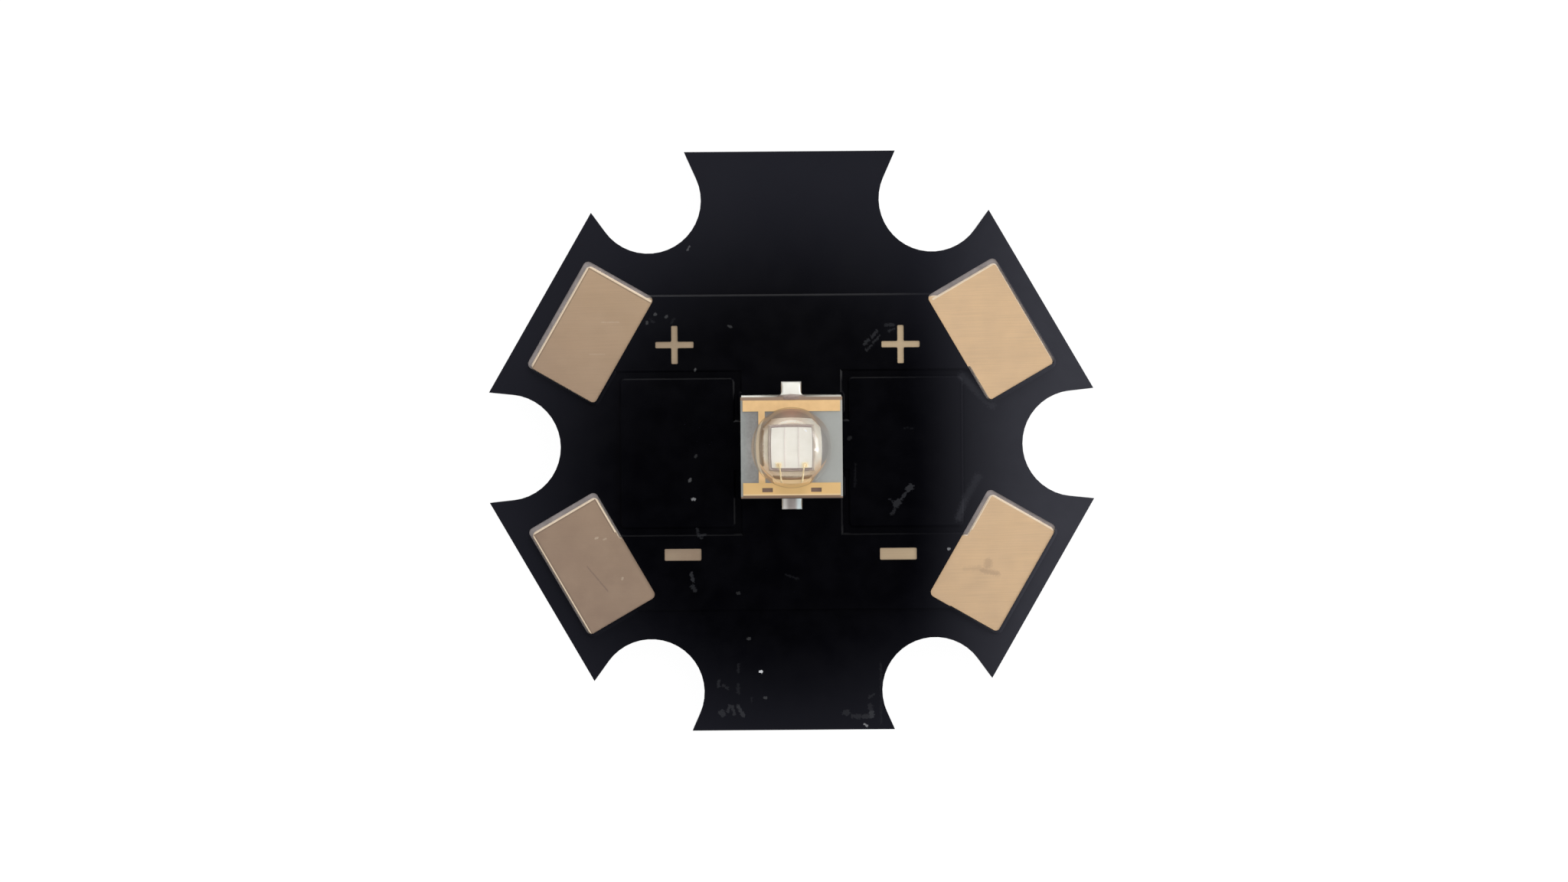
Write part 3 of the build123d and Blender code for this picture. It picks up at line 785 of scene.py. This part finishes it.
# The brown margins belong to the top face. The tile's sides stay grey.
top_mm = 1000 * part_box("ceramic_base")[1].z
on_top = ramp(part_of(place_in_mm(tree), "Z"), top_mm - 0.03, top_mm - 0.01)
off_axis = distance_from(tree, 0.0, package_shift)
under_dome = ramp(off_axis, 1.40, 1.37)
right_tone = blend_colours(
    ramp(off_axis, 0.90, 1.36), (0.375, 0.365, 0.355), (0.50, 0.505, 0.485)
)
below_die = times(slow_change(tree, 180, -0.70, -0.60), under_dome)
tone = tint_sides(
    tone,
    # Painted light: lighter towards the right, where the lamps stand.
    (0, 0.40, 1.30, 0.8, (0.44, 0.455, 0.43)),
    (180, 1.35, 1.80, 0.4, (0.40, 0.45, 0.44)),
    (90, 1.535, 1.565, on_top, (0.30, 0.214, 0.152)),
    (270, 1.750, 1.765, on_top, (0.28, 0.18, 0.115)),
    # Painted shade: a dark line along the tile's lower edge.
    (270, 1.795, 1.812, on_top, (0.055, 0.04, 0.036)),
    # Under the dome, these tones beside the die are painted reflections of the gold and the die.
    (0, 0.78, 0.84, under_dome, right_tone),
    (180, 0.74, 0.80, under_dome, (0.43, 0.325, 0.23)),
    (270, 0.84, 0.88, below_die, (0.45, 0.285, 0.165)),
)
# Beside the land's two lower corners the tile shines gold.
near_land = ramp(off_axis, 1.11, 1.04)
for turn, gold_tone in ((225, (0.90, 0.62, 0.36)), (315, (0.66, 0.48, 0.33))):
    band = times(slow_change(tree, turn + 180, -1.15, -1.11), near_land)
    tone = tint_sides(tone, (turn, 1.00, 1.03, band, gold_tone))
# Above the die, a browner tone and a rosy patch are painted reflections too.
above_tone = blend_colours(
    slow_change(tree, 0, 0.10, 0.80), (0.325, 0.245, 0.185), (0.41, 0.325, 0.265)
)
tone = tint_sides(tone, (90, 0.25, 0.85, under_dome, above_tone))
rosy = ramp(distance_from(tree, 0.0, 1.10), 0.55, 0.10)
tone = tint(tone, (0.51, 0.30, 0.215), rosy, under_dome)
windows = [(0.84 * side, -1.532, 0, 0.36, 0.20, 1.0) for side in (-1, 1)]
tone = tint(tone, (0.21, 0.135, 0.10), strokes(tree, windows, 0.01, 0.0))
finish(shader, tone)
dress(ceramic, "ceramic_base")

# %% [markdown]
# The gold on the tile is matt, because it is a thick film of metal grains and not a polished
# plate. Where the dome covers it, its tone changes in a few clear steps; those at its left
# edge are painted light and shade, as the dome bends the light. A painted shadow of the
# dome's foot darkens a ring at the foot and the middle of the lower bar. The square land
# below the die is paler.

# %% Finish the matt gold
land_gold, tree, shader, tone = cloudy_material(
    "matt gold", (0.90, 0.585, 0.28), (0.97, 0.65, 0.32), 0.25, 0.28,
    0.2, (0.48, 0.60, 0.25), (0.08, 0.0006),
)
tone = tint_sides(tone, (270, 1.10, 1.35, 0.8, (0.83, 0.545, 0.225)))
# Painted shadow of the dome's foot on the middle of the lower bar.
bar_dome_shadow = ramp(distance_from(tree, 0.0, -1.50), 0.75, 0.25)
tone = tint(tone, (0.66, 0.43, 0.175), bar_dome_shadow, 0.6)
off_axis = distance_from(tree, 0.0, package_shift)
under_dome = ramp(off_axis, 1.39, 1.35)
tone = tint_sides(
    tone,
    (270, 1.655, 1.69, 0.6, (0.99, 0.78, 0.50)),
    (270, 1.705, 1.725, 1.0, (0.29, 0.185, 0.118)),
    # Under the dome, at the left edge: painted light and shade, as the dome bends the light.
    (180, 0.88, 0.91, under_dome, (0.73, 0.61, 0.44)),
    (180, 1.03, 1.06, under_dome, (0.39, 0.34, 0.28)),
)
# Painted shadow: a darker ring at the dome's foot.
dome_foot_shadow = times(ramp(off_axis, 1.30, 1.37), ramp(off_axis, 1.40, 1.385))
tone = tint(tone, (0.50, 0.29, 0.13), dome_foot_shadow, 0.6)
tongue = times(slow_change(tree, 270, 1.16, 1.10), under_dome)
tone = tint_sides(tone, (270, 0.90, 0.94, tongue, (1.0, 0.75, 0.43)))
finish(shader, tone)
dress(land_gold, "frame_land")

# %% Finish the pale gold and the inner metal
# The land's outline is an octagon. Its lower and left sides are painted darker, a painted
# shade along the land's edges, and two corners on the right a little.
land_edge_shade = [
    (-0.805, -0.08, 90, 0.96, 0.03, 0.85),
    (-0.70, 0.62, 45, 0.26, 0.03, 0.80),
    (-0.25, -0.885, 0, 0.50, 0.03, 0.85),
    (0.30, -0.885, 0, 0.50, 0.03, 0.70),
    (0.70, -0.78, 45, 0.28, 0.01, 0.20),
    (0.70, 0.63, -45, 0.26, 0.01, 0.25),
]
pale_gold, tree, shader, tone = cloudy_material(
    "pale gold", (0.90, 0.82, 0.66), (0.99, 0.93, 0.78), 0.20, 0.3,
    0.25, (0.35, 0.5, 0.15), (0.04, 0.001),
)
# The land's tones differ from side to side as painted reflections: darker at the top, paler on the
# right, browner at the upper left, more golden towards the bottom.
tone = tint_sides(
    tone,
    (90, 0.50, 0.68, 1.0, (0.82, 0.71, 0.57)),
    (8, 0.30, 0.68, 1.0, (0.92, 0.89, 0.80)),
    (135, 0.66, 0.92, 0.8, (0.52, 0.37, 0.25)),
    (225, 0.70, 0.95, 0.6, (0.92, 0.62, 0.34)),
    (315, 0.74, 0.98, 0.6, (0.86, 0.60, 0.36)),
    (270, 0.60, 0.78, 0.4, (0.80, 0.62, 0.44)),
)
tone = tint(tone, (0.33, 0.21, 0.11), strokes(tree, land_edge_shade, 0.04, 0.03))
finish(shader, tone)
dress(pale_gold, "die_land")


def metal_material(name, first, second, metallic, smooth, rough, size, height):
    """Grainy metal: clouds and patches of one size in mm, and a relief a third as coarse."""
    gloss, grain = (smooth, rough, size), (size / 3, height)
    return cloudy_material(name, first, second, size, 0.28, metallic, gloss, grain)[0]


terminal_metal = metal_material(
    "terminal metal", (0.70, 0.66, 0.58), (0.82, 0.78, 0.70), 1.0, 0.3, 0.45, 0.2, 0.001
)
dress(terminal_metal, "terminal_plus", "terminal_minus", "thermal_terminal")
via_metal = metal_material(
    "fired metal", (0.45, 0.43, 0.40), (0.60, 0.57, 0.53), 1.0, 0.4, 0.6, 0.1, 0.002
)
dress(via_metal, "frame_vias", "die_conductor")

# %% [markdown]
# ## Die
# The die is a thin square chip. Its carrier shows as a dark purple-brown border round a
# cream film that gives the light. Two thin grey lines divide the film in three panels, and
# two gold pads at its lower edge take the wires.

# %% Finish the die
attach = metal_material(
    "die solder", (0.55, 0.52, 0.48), (0.70, 0.66, 0.60), 1.0, 0.35, 0.5, 0.08, 0.001
)
dress(attach, "die_attach")

carrier, tree, shader, tone = cloudy_material(
    "die carrier", (0.39, 0.31, 0.28), (0.49, 0.395, 0.36), 0.08, 0.3, 0.0, (0.35, 0.5, 0.06)
)
# The border is darkest right beside the film: the larger of the two distances from the
# film's middle, along X and along Y, is the same all along a square.
place = place_in_mm(tree)
off_x = math_node(tree, "ABSOLUTE", part_of(place, "X"))
off_y = math_node(tree, "SUBTRACT", part_of(place, "Y"), package_shift)
off_centre = math_node(tree, "MAXIMUM", off_x, math_node(tree, "ABSOLUTE", off_y))
tone = tint(tone, (0.12, 0.075, 0.07), ramp(off_centre, 0.60, 0.58), 0.75)
left_side = times(slow_change(tree, 180, 0.575, 0.59), 0.4)
right_side = times(slow_change(tree, 0, 0.575, 0.59), 0.7)
lit_sides = math_node(tree, "MAXIMUM", left_side, right_side)
finish(shader, tint(tone, (0.62, 0.55, 0.47), lit_sides))
dress(carrier, "led_die")

# %% Finish the film, the contacts and the wires
film = metal_material(
    "cream film", (0.92, 0.89, 0.81), (0.96, 0.935, 0.865), 0.0, 0.45, 0.6, 0.25, 0.0004
)
dress(film, "emitting_film")

contact, tree, shader, tone = cloudy_material(
    "contact metal", (0.80, 0.735, 0.70), (0.92, 0.85, 0.80), 0.05, 0.3, 0.05, (0.35, 0.5, 0.05)
)
bond_pads = [(0.37 * side, -0.57, 0, 0.06, 0.20, 1.0) for side in (-1, 1)]
finish(shader, tint(tone, (0.99, 0.91, 0.70), strokes(tree, bond_pads, 0.01, 0.0)))
dress(contact, "die_contacts")

wire_gold = metal_material(
    "wire gold", (0.99, 0.79, 0.46), (1.0, 0.87, 0.60), 0.05, 0.25, 0.35, 0.08, 0.0003
)
dress(wire_gold, "bond_wire_left", "bond_wire_right")

# %% [markdown]
# ## Solder
# Molten solder wets the copper inside an opening of the lacquer and climbs towards the
# package. Frozen, it is soft, slightly wrinkled and unevenly glossy. The two joints are lit
# and shaded copies of one solder. The plus joint is painted brighter, as painted light, and
# its strip beside the package a little darker. The minus joint lies in shade: it is painted
# darker, with painted highlights only at its two sides.

# %% Finish the solder
def solder_material(name, first, second, metallic):
    """Frozen solder in two near tones."""
    gloss, grain = (0.30, 0.42, 0.25), (0.08, 0.0015)
    return cloudy_material(name, first, second, 0.25, 0.28, metallic, gloss, grain)


solder = solder_material("tin solder", (0.66, 0.67, 0.68), (0.80, 0.81, 0.82), 1.0)[0]
dress(solder, "thermal_solder")

plus_solder, tree, shader, tone = solder_material(
    "solder painted lit", (0.93, 0.925, 0.84), (0.98, 0.975, 0.90), 0.1
)
# Painted light and shade: the tab painted bright, the strip beside the package painted darker,
# most towards the right.
strip = times(slow_change(tree, 0, -1.9, 0.2), 0.8)
tone = tint_sides(tone, (270, -1.77, -1.73, strip, (0.52, 0.49, 0.43)))
finish(shader, tone)
dress(plus_solder, "solder_joint_plus")

minus_solder, tree, shader, tone = solder_material(
    "solder painted shaded", (0.41, 0.365, 0.35), (0.50, 0.445, 0.425), 0.2
)
# Painted shade, with painted highlights at the joint's two sides.
tone = tint_sides(
    tone,
    (0, 0.08, 0.24, 1.0, (0.86, 0.96, 0.97)),
    (180, 0.08, 0.26, 1.0, (0.88, 0.84, 0.80)),
)
finish(shader, tone)
dress(minus_solder, "solder_joint_minus")

# %% [markdown]
# What shows of each joint beside the package is a bright strip and a small tab. CAD keeps
# both flat. Here each joint is a height over a grid: rows run away from the package, and
# every row is as wide as the solder is there. The tab's sides are drawn in a little, as
# surface tension leaves them, and its top slopes down to its end.

# %% Helpers for height fields
def smooth_step(value, low, high):
    """0 below low, 1 above high, and an even curve between the two."""
    share = np.clip((value - low) / (high - low), 0, 1)
    return share * share * (3 - 2 * share)


def height_piece(name, across, along, height, floor_height):
    """A closed solid under a height field.
    across, along and height are arrays of the same shape, in metres. The top is the point
    (across, along, height) of each grid place, the base is the same place at
    floor_height, a number or one more such array, and a band of faces joins the two
    round the rim."""
    rows, columns = height.shape
    top = np.stack([across, along, height], axis=-1).reshape(-1, 3)
    base = np.stack([across, along, np.full_like(height, floor_height)], axis=-1).reshape(-1, 3)
    count = rows * columns
    place = np.arange(count).reshape(rows, columns)
    upper = np.stack([place[:-1, :-1], place[:-1, 1:], place[1:, 1:], place[1:, :-1]], axis=-1)
    upper = upper.reshape(-1, 4)
    lower = upper[:, ::-1] + count
    rim = np.concatenate([place[0, :-1], place[:-1, -1], place[-1, :0:-1], place[:0:-1, 0]])
    after = np.roll(rim, -1)
    band = np.stack([after, rim, rim + count, after + count], axis=-1)
    faces = np.vstack([upper, lower, band]).tolist()
    return add_piece(name, np.vstack([top, base]).tolist(), faces, len(upper))


print("grid helpers ready")

# %% Make the solder joints
# Places and sizes of a joint, in mm. Along is the distance from the board's middle.
joint_start = 1.15
terminal_inset = 0.13
strip_half, strip_end, strip_rise, strip_slope = 1.73, 1.75, 0.040, 0.08
tab_half, tab_end, tab_waist = 0.35, 2.21, 0.030
tab_corner, tab_round, tab_tip = 0.08, 0.05, 0.06
under_terminal, under_rim = 0.05, 0.026
least_rise = 0.003
joint_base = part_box("solder_joint_plus")[0].z


def solder_heights(side, climb, crown):
    """The grid of one joint: positions across and along, and heights, all in metres.
    side is 1 on the plus side and -1 on the minus side. climb is how high the tab stands
    against the package and crown is how round its top is across, in mm.
    Under the package the solder fills the gap and rises a little at the terminal's edge.
    On the tab the height falls evenly to the tip, plus a crown that is the square root of
    the distance from the side. On the strip it falls off towards the strip's outer side."""
    package_edge = package_half + package_shift * side
    outer_edge = max(strip_end, package_edge)
    along = np.concatenate(
        [
            np.linspace(joint_start, package_edge - 0.002, 8),
            np.linspace(package_edge + 0.001, outer_edge + 0.001, 8),
            np.linspace(outer_edge + 0.004, tab_end, 36),
        ]
    )
    beyond = along - strip_end
    past = np.clip(beyond / (tab_end - strip_end), 0, 1)
    into_corner = np.clip(tab_corner - beyond, 0, tab_corner)
    fillet = tab_corner - np.sqrt(np.clip(tab_corner**2 - into_corner**2, 0, None))
    tab = tab_half - tab_waist * np.sin(pi * past) + np.where(beyond < tab_corner, fillet, 0)
    half = np.where(along <= strip_end + 0.0011, strip_half, tab)
    share = np.linspace(-1, 1, 121)
    across = half[:, None] * share
    along = np.repeat(along[:, None], share.size, axis=1)

    at_rim = smooth_step(along, package_edge - terminal_inset, package_edge)
    under = under_terminal + under_rim * at_rim
    slope = np.clip((tab_end - along) / (tab_end - package_edge), 0, 1)
    side_gap = half[:, None] - np.abs(across)
    on_tab = climb * slope + crown * np.sqrt(np.clip(side_gap / tab_half, 0, 1))
    on_tab = on_tab * np.sqrt(np.clip((tab_end - along) / tab_tip, 0, 1))
    on_tab = on_tab * np.sqrt(np.clip(side_gap / tab_round, 0, 1))
    on_strip = strip_rise * np.clip((strip_end - along) / strip_slope, 0, 1) ** 0.7
    tabness = 1 - smooth_step(np.abs(across), 0.30, 0.46)
    outside = tabness * on_tab + (1 - tabness) * on_strip
    rise = np.clip(np.where(along < package_edge, under, outside), least_rise, None)
    if side < 0:
        along, across = -along, -across
    return across * MM, along * MM, joint_base + rise * MM


for name, side, climb, crown, metal in (
    ("plus", 1, 0.125, 0.012, plus_solder),
    ("minus", -1, 0.022, 0.030, minus_solder),
):
    across, along, height = solder_heights(side, climb, crown)
    joint = height_piece(f"solder_{name}", across, along, height, joint_base - 0.001 * MM)
    joint.data.materials.append(metal)
    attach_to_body(joint, "root")
    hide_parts(f"solder_joint_{name}")
    print(joint.name, "faces:", len(joint.data.polygons))

# %% [markdown]
# ## Brown mound
# A small brown mound stands at the plus joint. It bridges the package's upper
# side: it laps a little over the tile and runs down in front of it to the tab. It is one
# more height over a grid, whose rows are narrow at both ends and widest in the middle, so
# that its outline is a flat arch.

# %% Make the brown mound
tile_low, tile_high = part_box("ceramic_base")

# Sizes of the mound, in mm.
mound_half, lap_reach, front_reach, end_reach = 0.54, 0.10, 0.105, 0.003
lap_height, lap_thickness = 0.014, 0.016

share = np.linspace(-1, 1, 61)
arch = 1 - share**2
lap = np.linspace(-1, -0.01, 9)[:, None]
front = np.linspace(0.01, 1, 17)[:, None]
along = [lap * (end_reach + lap_reach * arch), front * (end_reach + front_reach * arch)]
along = np.vstack(along) * MM
across = np.repeat(mound_half * MM * share[None, :], len(along), axis=0)
# The crest follows the tile's top in the middle and falls to the foot towards both ends.
foot = joint_base + under_terminal * MM
fall = smooth_step(1 - np.abs(share), 0.0, 0.55) ** 0.5
crest = foot + (tile_high.z + lap_height * MM * np.sqrt(arch) - foot) * fall
over_tile = crest - lap_height * MM * (1 - np.sqrt(1 - lap**2))
down_front = foot + (crest - foot) * (1 - front**2) ** 0.6
height = np.vstack([over_tile, down_front])
front_base = np.full_like(down_front, joint_base + 0.002 * MM)
base = np.vstack([over_tile - lap_thickness * MM, front_base])
mound_piece = height_piece("brown_mound", across, tile_high.y + along, height, base)
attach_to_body(mound_piece, "root")

mound_finish = cloudy_material(
    "brown mound finish", (0.235, 0.17, 0.14), (0.32, 0.25, 0.22), 0.12, 0.3,
    0.0, (0.30, 0.50, 0.10), (0.07, 0.003),
)[0]
mound_piece.data.materials.append(mound_finish)
print("brown mound faces:", len(mound_piece.data.polygons))

# %% [markdown]
# ## Clear dome
# The dome is soft clear silicone, moulded over the die and the wires. In CAD it is hollowed
# where they are, so that nothing overlaps. A renderer wants the opposite: one closed skin
# that dips just under the top of the tile, so that a ray which has entered the dome meets
# the die and the gold directly, with no thin layer of air between. The dome is drawn as a
# profile that is turned about its axis: a cap of a sphere with a small foot.

# %% Make the dome
def turned_surface(name, radii, heights, centre, turns=192):
    """A closed surface of revolution about the upright line through centre.
    Point (i, j) is at centre + (radius_i cos t_j, radius_i sin t_j) and at height_i, where
    t_j = 2 pi j / turns. The first and the last point of the profile lie on the axis, and
    each is one vertex."""
    angle = 2 * pi * np.arange(turns) / turns
    ring = radii[1:-1, None]
    x = centre[0] + ring * np.cos(angle)
    y = centre[1] + ring * np.sin(angle)
    z = np.repeat(heights[1:-1, None], turns, axis=1)
    points = np.stack([x, y, z], axis=-1).reshape(-1, 3)
    poles = np.array([[*centre, heights[0]], [*centre, heights[-1]]])
    rows = len(radii) - 2
    place = np.arange(rows * turns).reshape(rows, turns)
    right = np.roll(place, -1, axis=1)
    quads = np.stack([place[:-1], place[1:], right[1:], right[:-1]], axis=-1).reshape(-1, 4)
    count = rows * turns
    cap = np.stack([np.full(turns, count), place[0], right[0]], axis=-1)
    base = np.stack([np.full(turns, count + 1), right[-1], place[-1]], axis=-1)
    faces = quads.tolist() + cap.tolist() + base.tolist()
    return add_piece(name, np.vstack([points, poles]).tolist(), faces, len(faces))


package_centre = ((tile_low.x + tile_high.x) / 2, (tile_low.y + tile_high.y) / 2)
tile_top = tile_high.z
lens_low, lens_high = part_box("lens")
dome_radius = (lens_high.x - lens_low.x) / 2
dome_height = lens_high.z - lens_low.z
sphere_radius = (dome_radius**2 + dome_height**2) / (2 * dome_height)
sphere_centre = lens_high.z - sphere_radius

sink = 0.012 * MM
rim_angle = np.arccos((lens_low.z - sphere_centre) / sphere_radius)
sweep = np.linspace(0, rim_angle, 90)
foot_r = [dome_radius, dome_radius * 0.97, 0]
foot_z = [tile_top - sink * 0.6, tile_top - sink, tile_top - sink]
profile_r = np.concatenate([sphere_radius * np.sin(sweep), foot_r])
profile_z = np.concatenate([sphere_centre + sphere_radius * np.cos(sweep), foot_z])
dome = turned_surface("clear_dome", profile_r, profile_z, package_centre)
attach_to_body(dome, "root")
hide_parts("lens")
print("dome triangles:", sum(len(p.vertices) - 2 for p in dome.data.polygons))

# %% [markdown]
# Silicone bends light less than glass does. The dome is a single Principled shader with full
# transmission. Rays that only carry light to what lies inside would be stopped by a glass
# skin, so for those rays the shader steps aside and lets a part of them through.

# %% Finish the dome
silicone = bpy.data.materials.new("clear silicone")
tree = shader_tree(silicone)
clear_values = {"Base Color": (1.0, 0.985, 0.96), "Transmission Weight": 1.0}
clear = add_node(tree, "BsdfPrincipled", {**clear_values, "IOR": 1.41, "Roughness": 0.02})
through = add_node(tree, "BsdfTransparent", {"Color": (0.25, 0.25, 0.25)})
shadow_ray = add_node(tree, "LightPath").outputs["Is Shadow Ray"]
choice = mix_shaders(shadow_ray, clear, through)
add_node(tree, "OutputMaterial", {"Surface": choice})
finish(clear, grain=(0.5, 0.004))
dome.data.materials.append(silicone)
print("dome material:", silicone.name)

# %% [markdown]
# ## Sizes and colour management
# The colours are shown as they are written, so the view transform is Standard. The box of
# the dressed model is compared with the box of the CAD model, and the largest change of a
# side is printed.

# %% Compare the sizes and finish
scene.view_settings.view_transform = "Standard"
made_low, made_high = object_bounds()
cad_sides, made_sides = [*cad_low, *cad_high], [*made_low, *made_high]
changes = [1000 * abs(a - b) for a, b in zip(cad_sides, made_sides)]
print("largest change of a side in mm:", max(changes))
